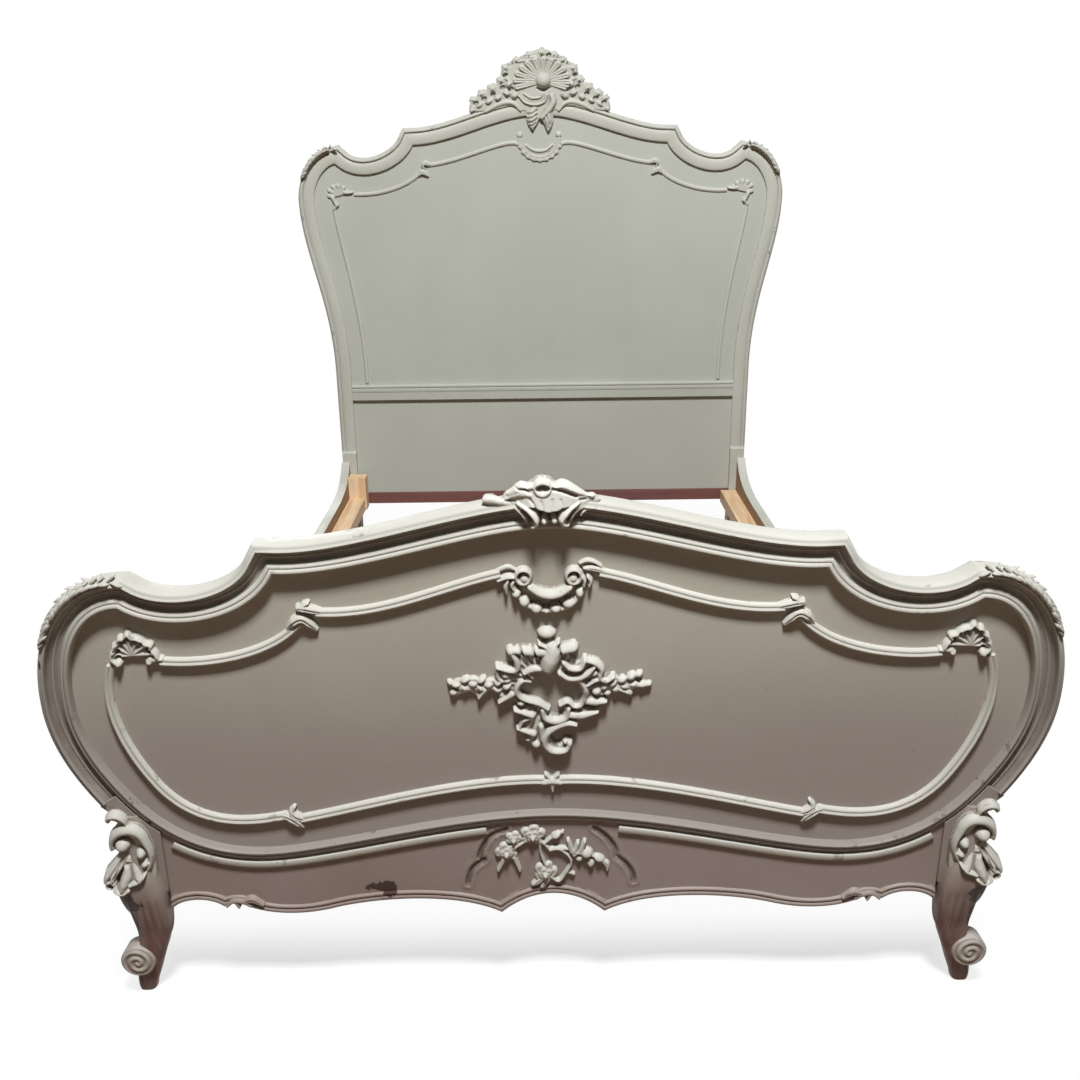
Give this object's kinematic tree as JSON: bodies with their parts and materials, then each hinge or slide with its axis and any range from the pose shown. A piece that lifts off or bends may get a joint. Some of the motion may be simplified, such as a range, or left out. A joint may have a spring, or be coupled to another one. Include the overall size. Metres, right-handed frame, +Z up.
{
  "type": "painted bed",
  "caption": "Double bed frame with carved, painted headboard and low footboard on scroll-toed legs; side rails with pine ledges hook into the posts",
  "frame": {"origin": "on the floor, at the centre of the bounding box seen from above", "axes": "+Y runs from the footboard to the headboard, +X is to the right seen from the footboard, +Z is up"},
  "size_m": [1.585, 2.04, 1.642],
  "materials": {
    "paint": "old grey-beige oil paint on wood, worn on the edges",
    "panel_paint": "taupe oil paint on wood",
    "stain": "dark red-brown stained wood, unpainted",
    "rail_wood": "brown stained wood inside, painted outside",
    "pine": "bare planed pine",
    "iron": "dull dark iron"
  },
  "bodies": {
    "boards": {"foot_top_rail": "paint", "foot_stile_left": "paint", "foot_stile_right": "paint", "foot_bottom_bead": "paint", "foot_apron": "paint", "foot_fillet_left": "paint", "foot_fillet_right": "paint", "foot_panel": "panel_paint", "foot_leg_left": "paint", "foot_leg_right": "paint", "foot_trim_upper_left": "paint", "foot_trim_upper_right": "paint", "foot_trim_shoulder_left": "paint", "foot_trim_shoulder_right": "paint", "foot_trim_side_left": "paint", "foot_trim_side_right": "paint", "foot_trim_lower_left": "paint", "foot_trim_lower_right": "paint", "foot_crest": "paint", "foot_garland": "paint", "foot_cartouche": "paint", "foot_shell_left": "paint", "foot_shell_right": "paint", "foot_spray": "paint", "foot_ear_leaf_left": "paint", "foot_ear_leaf_right": "paint", "head_top_rail": "paint", "head_post_left": "paint", "head_post_right": "paint", "head_panel": "paint", "head_mid_rail": "paint", "head_lower_panel": "paint", "head_bottom_rail": "stain", "head_trim_upper_left": "paint", "head_trim_upper_right": "paint", "head_trim_shoulder_left": "paint", "head_trim_shoulder_right": "paint", "head_trim_side_left": "paint", "head_trim_side_right": "paint", "head_crest": "paint", "head_collar": "paint", "head_shell_left": "paint", "head_shell_right": "paint", "head_ear_leaf_left": "paint", "head_ear_leaf_right": "paint"},
    "left_rail": {"rail_left": "rail_wood", "batten_left": "pine", "corner_block_left": "pine", "foot_hook_left": "iron", "head_hook_left": "iron"},
    "right_rail": {"rail_right": "rail_wood", "batten_right": "pine", "foot_hook_right": "iron", "head_hook_right": "iron"}
  },
  "joints": [
    {"name": "left_rail_lift", "type": "slide", "parent": "boards", "child": "left_rail", "axis": [0, 0, 1], "range_m": [0, 0.025]},
    {"name": "right_rail_lift", "type": "slide", "parent": "boards", "child": "right_rail", "axis": [0, 0, 1], "range_m": [0, 0.025]}
  ]
}
